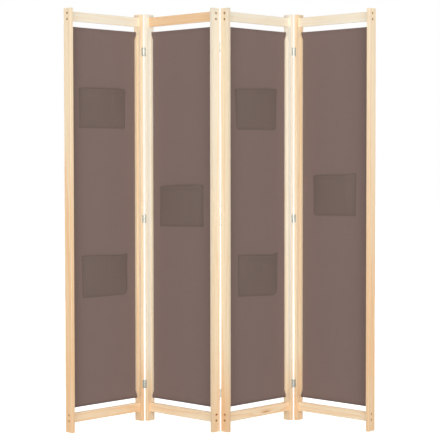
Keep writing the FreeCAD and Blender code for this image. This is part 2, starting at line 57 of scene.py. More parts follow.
# %% [markdown]
# Each panel has its own frame: "along" runs from its left outer side to its right one, "depth"
# from its front face to its back face, "height" from the floor. The hinge axes in the frame say
# where every panel stands, so a piece can be drawn on a flat panel and then turned into place.

# %% Panel frames
PANELS = ("panel_1", "panel_2", "panel_3", "panel_4")
PANEL_WIDTH = 0.400
STILE_WIDTH = 0.015
HEADING = math.radians(45.5)
HINGE_GAP = 0.0008
AXIS_OFFSET = 0.00255
TURNS = {"panel_1": HEADING, "panel_2": -HEADING, "panel_3": HEADING, "panel_4": -HEADING}
# Panels whose right side stands further from the viewer than their left side
RIGHT_SIDE_FAR = ("panel_1", "panel_3")


def turned(panel, along, depth):
    """A step in a panel's frame as a step in the row frame: a plain turn about the upright axis."""
    cosine, sine = math.cos(TURNS[panel]), math.sin(TURNS[panel])
    return along * cosine - depth * sine, along * sine + depth * cosine


def panel_corner(panel):
    """The panel's front left corner, worked back from the hinge axis on its far edge."""
    joint = "fold_1_2" if panel in ("panel_1", "panel_2") else "fold_3_4"
    axis = next(item["pos_m"] for item in frame["joints"] if item["name"] == joint)
    reach = PANEL_WIDTH + HINGE_GAP / 2 if panel in RIGHT_SIDE_FAR else -HINGE_GAP / 2
    step = turned(panel, reach, -AXIS_OFFSET)
    return axis[0] - step[0], axis[1] - step[1]


CORNERS = {panel: panel_corner(panel) for panel in PANELS}


def on_panel(panel, along, depth, height):
    """Row-frame points of arrays given in a panel's frame, stacked on a last axis of three."""
    along, depth, height = np.broadcast_arrays(along, depth, height)
    x, y = turned(panel, along, depth)
    return np.stack([x + CORNERS[panel][0], y + CORNERS[panel][1], height], axis=-1)


print("panel corners", CORNERS)

# %% [markdown]
# The camera stands where a fit of the screen's edges puts it: about six metres away, at chest
# height, with a long lens, looking a little down. Its axes are built from yaw, pitch and
# a trace of roll, so that the matrix can be written down directly.

# %% Camera
EYE = Vector((-0.1254, -6.0787, 1.086))
YAW, PITCH, ROLL = math.radians(1.195), math.radians(2.232), math.radians(0.06)
FOCAL_IN_IMAGE_WIDTHS = 1483.0 / 440.0
SENSOR_MM = 36.0

forward = Vector((math.sin(YAW) * math.cos(PITCH), math.cos(YAW) * math.cos(PITCH), -math.sin(PITCH)))
level_right = Vector((math.cos(YAW), -math.sin(YAW), 0.0))
right = level_right * math.cos(ROLL) - level_right.cross(forward) * math.sin(ROLL)
up = right.cross(forward)
camera_data = bpy.data.cameras.new("camera")
camera_data.sensor_width = SENSOR_MM
camera_data.lens = SENSOR_MM * FOCAL_IN_IMAGE_WIDTHS
camera = bpy.data.objects.new("camera", camera_data)
scene.collection.objects.link(camera)
camera.matrix_world = Matrix.Translation(EYE) @ Matrix((right, up, -forward)).transposed().to_4x4()
scene.camera = camera
print("lens", round(camera_data.lens, 2), "mm")

# %% [markdown]
# Materials are built from nodes. These helpers keep that short: one adds a node and fills its
# inputs, linking those that are given as sockets. The others use it for a step of arithmetic or
# for noise, start a group or a material, or link a group's results to a shader.

# %% Node helpers
# What every group gives to the materials that use it
SURFACE = {"Color": "Color", "Roughness": "Float", "Relief": "Float"}


def add_node(tree, kind, inputs=None, **settings):
    """A new node with its settings; an input given as a socket is linked, any other is set."""
    made = tree.nodes.new(kind)
    for name, value in settings.items():
        setattr(made, name, value)
    for key, value in (inputs or {}).items():
        if isinstance(value, bpy.types.NodeSocket):
            tree.links.new(value, made.inputs[key])
        else:
            made.inputs[key].default_value = value
    return made


def calc(tree, operation, first, second=0.0, third=0.0):
    """The result of one arithmetic step on sockets or numbers."""
    made = add_node(tree, "ShaderNodeMath", {0: first, 1: second, 2: third}, operation=operation)
    return made.outputs[0]


def vector_calc(tree, operation, first, second=(0.0, 0.0, 0.0)):
    """The result of one arithmetic step on vectors."""
    made = add_node(tree, "ShaderNodeVectorMath", {0: first, 1: second}, operation=operation)
    return made.outputs["Value" if operation == "LENGTH" else "Vector"]


def smooth_step(tree, value, low, high):
    """0 below low, 1 above high, and an even S-curve between them."""
    made = add_node(tree, "ShaderNodeMapRange", {"Value": value, "From Min": low, "From Max": high},
                    interpolation_type="SMOOTHSTEP")
    return made.outputs["Result"]


def fade(tree, value, low, high):
    """1 below low and 0 above high: the smooth step turned round."""
    return calc(tree, "SUBTRACT", 1.0, smooth_step(tree, value, low, high))


def drawn_noise(tree, place, squeeze, scale, detail):
    """Noise drawn out along the third axis, or packed along it where the squeeze is above 1."""
    squeezed = vector_calc(tree, "MULTIPLY", place, (1.0, 1.0, squeeze))
    made = add_node(tree, "ShaderNodeTexNoise", {"Vector": squeezed, "Scale": scale, "Detail": detail})
    return made.outputs


def dimmed(tree, colour, share):
    """A colour with all its channels multiplied by one share."""
    grey = add_node(tree, "ShaderNodeCombineXYZ", {0: share, 1: share, 2: share}).outputs[0]
    return vector_calc(tree, "MULTIPLY", colour, grey)


def mix_colours(tree, factor, first, second):
    """The first colour where the factor is 0, the second where it is 1."""
    made = add_node(tree, "ShaderNodeMix", {0: factor, 6: first, 7: second}, data_type="RGBA")
    return made.outputs[2]


def new_group(name, inputs):
    """An empty shader group that gives a surface: its tree, its input node and its output node."""
    tree = bpy.data.node_groups.new(name, "ShaderNodeTree")
    for label, kind in inputs.items():
        tree.interface.new_socket(label, in_out="INPUT", socket_type=f"NodeSocket{kind}")
    for label, kind in SURFACE.items():
        tree.interface.new_socket(label, in_out="OUTPUT", socket_type=f"NodeSocket{kind}")
    return tree, tree.nodes.new("NodeGroupInput"), tree.nodes.new("NodeGroupOutput")


def give_surface(tree, result, colour, rough, relief):
    """Link what a group has made to its output node."""
    for label, socket in zip(SURFACE, (colour, rough, relief)):
        tree.links.new(socket, result.inputs[label])


def new_material(name):
    """A material with its own Principled shader: the material, its tree and the shader."""
    material = bpy.data.materials.new(name)
    material.use_nodes = True
    tree = material.node_tree
    return material, tree, tree.nodes["Principled BSDF"]


def link_surface(tree, shader, marks, strength, distance):
    """Feed a group's colour and roughness to the shader, and its relief through a Bump node."""
    relief = {"Height": marks.outputs["Relief"], "Strength": strength, "Distance": distance}
    bump = add_node(tree, "ShaderNodeBump", relief)
    tree.links.new(marks.outputs["Color"], shader.inputs["Base Color"])
    tree.links.new(marks.outputs["Roughness"], shader.inputs["Roughness"])
    tree.links.new(bump.outputs["Normal"], shader.inputs["Normal"])


def linear(red, green, blue):
    """A screen colour from 0 to 255 as the linear colour that shaders take."""
    shares = np.array([red, green, blue]) / 255.0
    curve = np.where(shares <= 0.04045, shares / 12.92, ((shares + 0.055) / 1.055) ** 2.4)
    return (*(float(value) for value in curve), 1.0)


# %% [markdown]
# The studio is a white floor and a white surround under soft light. The floor is an ordinary
# pale surface with a little glow that only the camera and mirrors see, so it turns white and
# still keeps the shadow at the feet. The surround does the same with its strength. Two wide lamps
# stand left and right of the camera, low enough to reach into the corners where panels meet, and
# two more light the back, which the camera doesn't see.

# %% Floor, surround and lamps
WHITE = (1.0, 1.0, 1.0, 1.0)
FLOOR_SIDE = 60.0
FLOOR_TONE = (0.68, 0.68, 0.68, 1.0)
FLOOR_GLOW = 0.80
SURROUND_LIGHT = 0.31
LAMP_SIDE = 2.6
LAMP_POWER = 129.0
LAMP_PLACES = {
    "lamp_left": (-2.3, -4.6, 1.3),
    "lamp_right": (2.3, -4.6, 1.3),
    "lamp_back_left": (-2.9, 4.6, 1.3),
    "lamp_back_right": (2.9, 4.6, 1.3),
}
LAMP_AIM = Vector((0.0, 0.0, 0.75))


def camera_or_mirror(tree):
    """1 for rays that the camera, a mirror or glass sends out, 0 for light that bounces about."""
    path = add_node(tree, "ShaderNodeLightPath")
    either = calc(tree, "MAXIMUM", path.outputs["Is Camera Ray"], path.outputs["Is Glossy Ray"])
    return calc(tree, "MAXIMUM", either, path.outputs["Is Transmission Ray"])


def make_floor():
    """One large square with its middle under the screen."""
    half = FLOOR_SIDE / 2
    corners = [(-half, -half, 0), (half, -half, 0), (half, half, 0), (-half, half, 0)]
    mesh = bpy.data.meshes.new("floor")
    mesh.from_pydata(corners, [], [(0, 1, 2, 3)])
    floor = bpy.data.objects.new("floor", mesh)
    scene.collection.objects.link(floor)
    material, tree, shader = new_material("floor_white")
    shader.inputs["Base Color"].default_value = FLOOR_TONE
    shader.inputs["Roughness"].default_value = 0.9
    shader.inputs["Emission Color"].default_value = WHITE
    glow = calc(tree, "MULTIPLY", camera_or_mirror(tree), FLOOR_GLOW)
    tree.links.new(glow, shader.inputs["Emission Strength"])
    mesh.materials.append(material)


def make_surround():
    """White for the camera, weaker as a source of light."""
    world = bpy.data.worlds.new("surround")
    world.use_nodes = True
    tree = world.node_tree
    background = tree.nodes["Background"]
    background.inputs["Color"].default_value = WHITE
    extra = calc(tree, "MULTIPLY", camera_or_mirror(tree), 1.0 - SURROUND_LIGHT)
    tree.links.new(calc(tree, "ADD", extra, SURROUND_LIGHT), background.inputs["Strength"])
    scene.world = world


def make_lamps():
    """Wide soft lamps of one strength, all aimed at the middle of the screen."""
    for name, place in LAMP_PLACES.items():
        data = bpy.data.lights.new(name, "AREA")
        data.size = LAMP_SIDE
        data.energy = LAMP_POWER
        lamp = bpy.data.objects.new(name, data)
        lamp.location = place
        lamp.rotation_euler = (LAMP_AIM - Vector(place)).to_track_quat("-Z", "Y").to_euler()
        scene.collection.objects.link(lamp)


make_floor()
make_surround()
make_lamps()
scene.view_settings.view_transform = "Standard"
print("studio: floor, surround and", len(LAMP_PLACES), "lamps")

# %% [markdown]
# The boards are planed softwood under a thin clear coat. A photo of wood could be wrapped round
# them, but a board is cut from a round trunk, so here the trunk is described instead: rings about
# a pith that lies beside the board, stretched and bent along its length, with pale early wood that
# slowly turns honey-coloured and stops sharply. Every face, end grain too, then shows the right cut.
# One value, the warmth, runs through cream, straw and honey. Where a branch grew, a brown knot
# pushes the rings aside; sawn along the branch's slant, it shows as a streak.

# %% Softwood grain
WOOD_TONES = ((0.0, linear(244, 236, 218)), (0.5, linear(242, 221, 188)), (1.0, linear(234, 192, 146)))
RINGS_PER_METRE = 260.0
# Shares of a ring over which late wood comes in and stops
LATE_START = (0.35, 0.92)
LATE_STOP = (0.93, 1.0)
GRAIN_DRIFT = 0.016
# Squeeze along the board, scale and detail of each noise
SLOW_NOISE = (0.05, 16.0, 2.0)
FINE_NOISE = (0.02, 190.0, 3.0)
FIBRE_NOISE = (0.015, 1300.0, 1.0)
# Mean of each pattern, and how much the pattern warms the wood
LATE_WARMTH = (0.33, 0.30)
FIBRE_WARMTH = (0.5, 0.22)
FINE_WARMTH = (0.5, 0.25)
MID_HEIGHT = 0.85
FOOT_HEIGHTS = (0.06, 0.32)
BOARD_VALUES = ("Warmth", "Fall", "Foot", "Shade", "Lightness")
KNOT_TONE = linear(200, 150, 106)
KNOT_RADIUS = 0.0065
KNOT_SQUEEZE = (1.0, 1.0, 0.15)
KNOT_SWERVE = 0.004
SWERVE_REACH = 3 * KNOT_RADIUS
WOOD_ROUGHNESS = 0.40
FIBRE_ROUGHNESS = 0.16
RING_RELIEF = 0.5
FIBRE_RELIEF = 0.5


def softwood_group():
    """Ring phase = distance from the pith times the ring count, with slow and fine noise added."""
    board_sockets = {name: "Float" for name in BOARD_VALUES}
    tree, source, result = new_group(
        "softwood_grain",
        {"Place": "Vector", "Knot": "Vector", "Height": "Float", **board_sockets},
    )
    place = source.outputs["Place"]
    slow = drawn_noise(tree, place, *SLOW_NOISE)["Color"]
    fine = drawn_noise(tree, place, *FINE_NOISE)["Fac"]
    fibre = drawn_noise(tree, place, *FIBRE_NOISE)["Fac"]
    centred = vector_calc(tree, "SUBTRACT", slow, (0.5, 0.5, 0.5))
    bend = vector_calc(tree, "MULTIPLY", centred, (GRAIN_DRIFT, GRAIN_DRIFT, 0.0))
    bent = vector_calc(tree, "ADD", vector_calc(tree, "MULTIPLY", place, (1.0, 1.0, 0.0)), bend)
    knot_step = vector_calc(tree, "SUBTRACT", place, source.outputs["Knot"])
    knot_distance = vector_calc(tree, "LENGTH", vector_calc(tree, "MULTIPLY", knot_step, KNOT_SQUEEZE))
    swerve = fade(tree, knot_distance, 0.0, SWERVE_REACH)
    distance = calc(tree, "MULTIPLY_ADD", swerve, KNOT_SWERVE, vector_calc(tree, "LENGTH", bent))
    tooth = calc(tree, "FRACT", calc(tree, "MULTIPLY_ADD", distance, RINGS_PER_METRE, fine))
    risen = smooth_step(tree, tooth, *LATE_START)
    late = calc(tree, "SUBTRACT", risen, smooth_step(tree, tooth, *LATE_STOP))
    below = calc(tree, "SUBTRACT", MID_HEIGHT, source.outputs["Height"])
    warm = calc(tree, "MULTIPLY_ADD", below, source.outputs["Fall"], source.outputs["Warmth"])
    near_foot = fade(tree, source.outputs["Height"], *FOOT_HEIGHTS)
    warm = calc(tree, "MULTIPLY_ADD", near_foot, source.outputs["Foot"], warm)
    for pattern, (mean, strength) in ((late, LATE_WARMTH), (fibre, FIBRE_WARMTH), (fine, FINE_WARMTH)):
        warm = calc(tree, "MULTIPLY_ADD", calc(tree, "SUBTRACT", pattern, mean), strength, warm)
    ramp = add_node(tree, "ShaderNodeValToRGB", {"Fac": warm})
    stops = ramp.color_ramp.elements
    stops.new(WOOD_TONES[1][0])
    for stop, (position, tone) in zip(stops, WOOD_TONES):
        stop.position = position
        stop.color = tone
    wood = mix_colours(tree, fade(tree, knot_distance, 0.0, KNOT_RADIUS), ramp.outputs["Color"], KNOT_TONE)
    # Painted shade at the foot, mostly where panels meet at the back: the Shade value darkens the board
    # there
    painted_foot_shade = calc(tree, "SUBTRACT", 1.0, calc(tree, "MULTIPLY", near_foot, source.outputs["Shade"]))
    light = calc(tree, "MULTIPLY", source.outputs["Lightness"], painted_foot_shade)
    rough = calc(tree, "MULTIPLY_ADD", fibre, FIBRE_ROUGHNESS, WOOD_ROUGHNESS)
    relief = calc(tree, "MULTIPLY_ADD", late, RING_RELIEF, calc(tree, "MULTIPLY", fibre, FIBRE_RELIEF))
    give_surface(tree, result, dimmed(tree, wood, light), rough, relief)
    return tree


SOFTWOOD = softwood_group()
print("softwood group with", len(SOFTWOOD.nodes), "nodes")

# %% [markdown]
# Boards differ: some are nearly cream, others honey, and most stiles grow warmer towards the foot.
# Each board has its own tone and its own place in the trunk, so no two show the same figure. The
# thin strips that press on the cloth lie in the corner of the frame; their low lightness is painted shade
# from that corner.
# A Mapping node turns the row's coordinates into the board's: its length on the third axis and
# the pith at the origin. One low rail has a knot; every other board's knot lies far off its end.

# %% Boards
# Warmth at mid height, its growth per metre towards the foot, extra warmth at the foot, painted shade
# at the foot (below zero it lightens), lightness
STILE_TONES = {
    "panel_1": {"left": (0.80, 0.38, -0.14, 0.0, 1.01), "right": (0.60, 0.05, 0.27, 0.10, 1.03)},
    "panel_2": {"left": (0.00, 0.34, 0.37, 0.05, 0.99), "right": (0.39, 0.33, 0.03, 0.0, 0.90)},
    "panel_3": {"left": (0.47, 0.12, 0.38, -0.03, 0.885), "right": (0.00, 0.37, 0.42, 0.06, 0.98)},
    "panel_4": {"left": (0.57, -0.12, 0.45, 0.04, 1.01), "right": (0.81, 0.45, -0.28, 0.04, 1.01)},
}
# The strips' low lightness is painted shade in the corner between stile and cloth
STRIP_TONES_AND_SHADE = {
    "panel_1": {"left": (0.70, 0.20, 0.0, 0.0, 0.85), "right": (0.58, 0.00, 0.0, 0.0, 0.78)},
    "panel_2": {"left": (0.28, 0.15, 0.0, 0.0, 0.78), "right": (0.45, 0.20, 0.0, 0.0, 0.85)},
    "panel_3": {"left": (0.55, 0.10, 0.0, 0.0, 0.85), "right": (0.30, 0.20, 0.0, 0.0, 0.87)},
    "panel_4": {"left": (0.58, 0.00, 0.0, 0.0, 0.78), "right": (0.70, 0.20, 0.0, 0.0, 0.85)},
}
RAIL_TONES = {
    "panel_1": {"top": (0.20, 0.0, 0.0, 0.0, 1.00), "bottom": (0.78, 0.0, 0.0, 0.0, 1.04)},
    "panel_2": {"top": (0.97, 0.0, 0.0, 0.0, 1.04), "bottom": (0.66, 0.0, 0.0, 0.0, 1.04)},
    "panel_3": {"top": (0.24, 0.0, 0.0, 0.0, 1.01), "bottom": (0.70, 0.0, 0.0, 0.0, 1.04)},
    "panel_4": {"top": (0.14, 0.0, 0.0, 0.0, 1.00), "bottom": (0.60, 0.0, 0.0, 0.0, 1.02)},
}
PITH_DISTANCE = (0.030, 0.085)
PITH_STRAY = 0.012
TRUNK_LENGTH = 9.0
# Along, depth and height on the panel
KNOTS = {"panel_3_bottom_rail": (0.2414, 0.0125, 0.053)}
NO_KNOT = (0.0, 0.0, -TRUNK_LENGTH)
# Strength and depth of the grain's relief
WOOD_BUMP = (0.5, 0.0003)
BOARD_SEED = 46
board_numbers = np.random.default_rng(BOARD_SEED)


def board_axes(panel, is_rail):
    """The turn from the row frame to the board: a rail also tips its length onto the third axis."""
    upright = Matrix.Rotation(-TURNS[panel], 3, "Z")
    if is_rail:
        return Matrix.Rotation(-math.pi / 2, 3, "Y") @ upright
    return upright


def pith_offset(is_rail):
    """How far the board's middle lies from the pith: mostly along its thickness."""
    through = board_numbers.uniform(*PITH_DISTANCE) * board_numbers.choice([-1.0, 1.0])
    across = board_numbers.uniform(-PITH_STRAY, PITH_STRAY)
    along = board_numbers.uniform(0.0, TRUNK_LENGTH)
    return Vector((across, through, along)) if is_rail else Vector((through, across, along))


def wood_finish(node_name, panel, is_rail, tone):
    """The board's own material, with its place in the trunk on a Mapping node."""
    material, tree, shader = new_material(f"{node_name}_wood")
    low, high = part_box(node_name)
    axes = board_axes(panel, is_rail)
    shift = pith_offset(is_rail) - axes @ ((low + high) / 2)
    coordinates = add_node(tree, "ShaderNodeTexCoord").outputs["Object"]
    mapping = add_node(tree, "ShaderNodeMapping", {
        "Vector": coordinates,
        "Location": shift,
        "Rotation": axes.to_euler("XYZ"),
    })
    height = add_node(tree, "ShaderNodeSeparateXYZ", {0: coordinates}).outputs["Z"]
    grain = add_node(tree, "ShaderNodeGroup", node_tree=SOFTWOOD)
    knot = NO_KNOT
    if node_name in KNOTS:
        knot = shift + axes @ Vector(on_panel(panel, *KNOTS[node_name]))
    grain.inputs["Knot"].default_value = knot
    tree.links.new(mapping.outputs["Vector"], grain.inputs["Place"])
    tree.links.new(height, grain.inputs["Height"])
    for name, value in zip(BOARD_VALUES, tone):
        grain.inputs[name].default_value = value
    link_surface(tree, shader, grain, *WOOD_BUMP)
    shader.inputs["Specular IOR Level"].default_value = 0.35
    shader.inputs["Coat Weight"].default_value = 0.12
    shader.inputs["Coat Roughness"].default_value = 0.35
    return material


def dress_node(node_name, material):
    """Give a CAD node one material for all its faces."""
    slots = frame["nodes"][node_name].data.materials
    slots.clear()
    slots.append(material)


for piece, tones in (("stile", STILE_TONES), ("strip", STRIP_TONES_AND_SHADE), ("rail", RAIL_TONES)):
    for panel in PANELS:
        for side, tone in tones[panel].items():
            node_name = f"{panel}_{side}_{piece}"
            dress_node(node_name, wood_finish(node_name, panel, piece == "rail", tone))
print("dressed the boards of", len(PANELS), "panels")

# %% [markdown]
# The hinges are zinc-plated steel and the frame screws have a yellow-brown plating. Both share one
# group of fine marks: soft clouds from the plating bath and short scratches from the tumbling drum.
# One even tone would do from afar, but up close it would look like plastic.

# %% Plated steel
# Squeeze along the upright axis, scale and detail of each noise
CLOUDS = (1.0, 260.0, 3.0)
SCRATCHES = (9.0, 900.0, 2.0)
CLOUD_SHARE = 0.6
DULL_RANGE = (0.35, 0.68)
PLATING_ROUGHNESS = 0.20
MARK_ROUGHNESS = 0.22
PLATING_BUMP = (0.3, 0.00005)


def plating_group():
    """Clouds = soft noise; scratches = noise squeezed along one axis. Both change tone and gloss."""
    tree, source, result = new_group(
        "plating_marks",
        {"Place": "Vector", "Bright": "Color", "Dull": "Color"},
    )
    place = source.outputs["Place"]
    clouds = drawn_noise(tree, place, *CLOUDS)["Fac"]
    scratches = drawn_noise(tree, place, *SCRATCHES)["Fac"]
    soft_share = calc(tree, "MULTIPLY", clouds, CLOUD_SHARE)
    share = calc(tree, "MULTIPLY_ADD", scratches, 1 - CLOUD_SHARE, soft_share)
    dullness = smooth_step(tree, share, *DULL_RANGE)
    tone = mix_colours(tree, dullness, source.outputs["Bright"], source.outputs["Dull"])
    rough = calc(tree, "MULTIPLY_ADD", share, MARK_ROUGHNESS, PLATING_ROUGHNESS)
    give_surface(tree, result, tone, rough, scratches)
    return tree


PLATING = plating_group()


def plated_metal(name, bright, dull):
    """A metal whose tone wanders between two plating colours."""
    material, tree, shader = new_material(name)
    coordinates = add_node(tree, "ShaderNodeTexCoord").outputs["Object"]
    marks = add_node(tree, "ShaderNodeGroup", node_tree=PLATING)
    tree.links.new(coordinates, marks.inputs["Place"])
    marks.inputs["Bright"].default_value = bright
    marks.inputs["Dull"].default_value = dull
    link_surface(tree, shader, marks, *PLATING_BUMP)
    shader.inputs["Metallic"].default_value = 1.0
    return material


ZINC = plated_metal("hinge_zinc", linear(202, 202, 195), linear(162, 162, 156))
YELLOW_PLATING = plated_metal("screw_plating", linear(190, 148, 94), linear(148, 110, 66))
PLAIN_STEEL = plated_metal("brad_steel", linear(170, 170, 168), linear(128, 126, 122))
for node_name in frame["nodes"]:
    if node_name.startswith("hinge"):
        dress_node(node_name, ZINC)
    elif node_name.endswith("frame_screws"):
        dress_node(node_name, YELLOW_PLATING)
    elif node_name.endswith("brads"):
        dress_node(node_name, PLAIN_STEEL)
print("dressed the hinges, screws and brads")

# %% [markdown]
# The cloth is a plain weave: each thread goes over one and under the next. The weave is drawn
# from the sheet's own UV map, laid out in metres, so the threads keep their size and follow the
# folds. Where the cloth lies double, as in hems and seams, less light comes through from behind
# and it looks darker. Painted shade darkens it too, beside the far stiles, along its folded edges
# and along the pocket mouths. Each sheet carries an attribute that says where both are.

# %% Woven cloth
THREAD_PITCH = 0.0006
# Slubs per metre across a thread and along it
SLUBS_ACROSS = 900.0
SLUBS_ALONG = 9.0
SLUB_CONTRAST = 0.35
SLUB_RELIEF = 0.6
# Brightness and roughness between the threads, and what a thread's crown adds to each: the
# brightness is painted shade in the hollows and painted highlight on the crowns
HOLLOW_SHADE = 0.95
CROWN_SHADE = 0.08
HOLLOW_ROUGHNESS = 0.92
CROWN_ROUGHNESS = -0.1
WEAVE_BUMP = (0.35, 0.00012)
LAYERS_AND_SHADE = "layers"
SHEET_UV = "cloth_metres"


def weave_group():
    """Thread roundness = 1 - (2 * fraction - 1) squared, taken from warp and weft in turn."""
    tree, source, result = new_group(
        "plain_weave",
        {"Cloth": "Vector", "Tone": "Color", "Deep Tone": "Color", "Layers": "Float"},
    )
    per_metre = 1 / THREAD_PITCH
    threads = vector_calc(tree, "MULTIPLY", source.outputs["Cloth"], (per_metre, per_metre, 0.0))
    counts = add_node(tree, "ShaderNodeSeparateXYZ", {0: vector_calc(tree, "FLOOR", threads)})
    shares = add_node(tree, "ShaderNodeSeparateXYZ", {0: vector_calc(tree, "FRACTION", threads)})
    turn = calc(tree, "MODULO", calc(tree, "ADD", counts.outputs["X"], counts.outputs["Y"]), 2.0)
    rounds = []
    for axis in ("X", "Y"):
        centred = calc(tree, "MULTIPLY_ADD", shares.outputs[axis], 2.0, -1.0)
        rounds.append(calc(tree, "SUBTRACT", 1.0, calc(tree, "MULTIPLY", centred, centred)))
    either = add_node(tree, "ShaderNodeMix", {0: turn, 2: rounds[0], 3: rounds[1]}, data_type="FLOAT")
    over = either.outputs[0]
    slubs = []
    for squeeze in ((SLUBS_ACROSS, SLUBS_ALONG, 0.0), (SLUBS_ALONG, SLUBS_ACROSS, 0.0)):
        stretched = vector_calc(tree, "MULTIPLY", source.outputs["Cloth"], squeeze)
        noise = add_node(tree, "ShaderNodeTexNoise", {"Vector": stretched, "Scale": 1.0, "Detail": 2.0})
        slubs.append(noise.outputs["Fac"])
    slub = calc(tree, "MULTIPLY", calc(tree, "ADD", slubs[0], slubs[1]), 0.5)
    shade = calc(tree, "MULTIPLY_ADD", calc(tree, "SUBTRACT", slub, 0.5), SLUB_CONTRAST, HOLLOW_SHADE)
    shade = calc(tree, "MULTIPLY_ADD", over, CROWN_SHADE, shade)
    base = mix_colours(tree, source.outputs["Layers"], source.outputs["Tone"], source.outputs["Deep Tone"])
    rough = calc(tree, "MULTIPLY_ADD", over, CROWN_ROUGHNESS, HOLLOW_ROUGHNESS)
    relief = calc(tree, "MULTIPLY_ADD", slub, SLUB_RELIEF, over)
    give_surface(tree, result, dimmed(tree, base, shade), rough, relief)
    return tree


PLAIN_WEAVE = weave_group()


def cloth_finish(name, tone, deep_tone):
    """Woven cloth of one colour, deeper where it lies double and where shade is painted on it."""
    material, tree, shader = new_material(name)
    weave = add_node(tree, "ShaderNodeGroup", node_tree=PLAIN_WEAVE)
    tree.links.new(add_node(tree, "ShaderNodeUVMap", uv_map=SHEET_UV).outputs["UV"], weave.inputs["Cloth"])
    layers = add_node(tree, "ShaderNodeAttribute", attribute_name=LAYERS_AND_SHADE)
    tree.links.new(layers.outputs["Fac"], weave.inputs["Layers"])
    weave.inputs["Tone"].default_value = tone
    weave.inputs["Deep Tone"].default_value = deep_tone
    link_surface(tree, shader, weave, *WEAVE_BUMP)
    shader.inputs["Specular IOR Level"].default_value = 0.2
    shader.inputs["Sheen Weight"].default_value = 0.08
    shader.inputs["Sheen Roughness"].default_value = 0.5
    return material


PANEL_CLOTH = cloth_finish("panel_cloth", linear(125, 106, 100), linear(98, 82, 77))
# The pocket's darker tone is painted: it lies over the panel's cloth, so less light comes through it from
# behind
POCKET_CLOTH = cloth_finish("pocket_cloth", linear(112, 97, 90), linear(103, 89, 82))
print("cloth finishes with threads", THREAD_PITCH * 1000, "mm apart")

# %% [markdown]
# Every soft piece is a grid of points: rows along the cloth, columns across it. It could be shaped
# by hand, but a formula for the whole grid keeps its measures exact. These helpers turn such a grid
# into a mesh with square faces, a UV map in metres and the attribute for doubled cloth and painted
# shade. Solidify then gives the sheet its thickness.

# %% Sheets from grids
CLOTH_THICKNESS = 0.0005


def grid_faces(rows, columns):
    """Corner numbers of every square of a grid, one row after another."""
    numbers = np.arange(rows * columns).reshape(rows, columns)
    corners = [numbers[:-1, :-1], numbers[:-1, 1:], numbers[1:, 1:], numbers[1:, :-1]]
    return np.stack(corners, axis=-1).reshape(-1, 4)


def mesh_piece(name, points, faces, material):
    """A new smooth mesh object from arrays of points and four-sided faces."""
    mesh = bpy.data.meshes.new(name)
    mesh.from_pydata(points.reshape(-1, 3).tolist(), [], faces.tolist())
    mesh.polygons.foreach_set("use_smooth", np.ones(len(faces), bool))
    mesh.materials.append(material)
    piece = bpy.data.objects.new(name, mesh)
    scene.collection.objects.link(piece)
    return piece


def sheet_piece(name, points, cloth_metres, layers, material):
    """A thin sheet from grids of points, flat places in metres, and doubled layers with painted shade."""
    rows, columns = points.shape[:2]
    piece = mesh_piece(name, points, grid_faces(rows, columns), material)
    mesh = piece.data
    corner_points = np.zeros(len(mesh.loops), np.int32)
    mesh.loops.foreach_get("vertex_index", corner_points)
    uv_map = mesh.uv_layers.new(name=SHEET_UV)
    corner_places = cloth_metres.reshape(-1, 2)[corner_points]
    uv_map.data.foreach_set("uv", corner_places.astype(np.float32).ravel())
    doubled_and_shaded = mesh.attributes.new(LAYERS_AND_SHADE, "FLOAT", "POINT")
    doubled_and_shaded.data.foreach_set("value", layers.astype(np.float32).ravel())
    solidify = piece.modifiers.new("thickness", "SOLIDIFY")
    solidify.thickness = CLOTH_THICKNESS
    solidify.offset = 0.0
    return piece


def eased(share):
    """An S-curve from 0 to 1: 3 s squared minus 2 s cubed, held at both ends."""
    share = np.clip(share, 0.0, 1.0)
    return share * share * (3 - 2 * share)


# %% [markdown]
# Each panel's cloth is one strip, cut longer than it looks: both ends are folded to the back and
# sewn down as hems. The strip is a profile carried across the panel: up the back of the top hem,
# over the fold, down the face, round the bottom fold and up the back of the lower hem. Its side
# edges go into the kerfs of the stiles, and the hems stop just short of the wood. A simulation
# could hang it, but cloth this taut hardly moves, so a few waves by formula are enough.

# %% Panel cloth
CLOTH_BASE = 0.096
CLOTH_TOP = 1.628
CLOTH_DEPTH = 0.0284
CLOTH_TUCK = 0.0033
CLEAR_HALF = 0.5 * PANEL_WIDTH - STILE_WIDTH
HEM = 0.012
FOLD_RADIUS = 0.0006
EDGE_CLEARANCE = 0.0008
EDGE_PULL = 0.0004
EDGE_PULL_REACH = 0.05
# How doubled the cloth looks in its hems; painted shade along its far side and on its two edge lines
HEM_LAYERS = 0.12
FAR_SIDE_SHADE = 0.4
FAR_SIDE_SHADE_WIDTH = 0.014
TOP_EDGE_SHADE = 0.8
EDGE_SHADE_POWER = 10
SLACK = 0.00022
SLACK_WAVES = 4
# Radians per metre up the cloth and across it
WAVES_UP = (3, 12)
WAVES_ACROSS = (-9, 9)
CLOTH_SEEDS = {"panel_1": 30, "panel_2": 31, "panel_3": 32, "panel_4": 33}
CLOTH_COLUMNS = 65
FACE_ROWS = 180
FLAP_ROWS = 5
FOLD_ROWS = 7


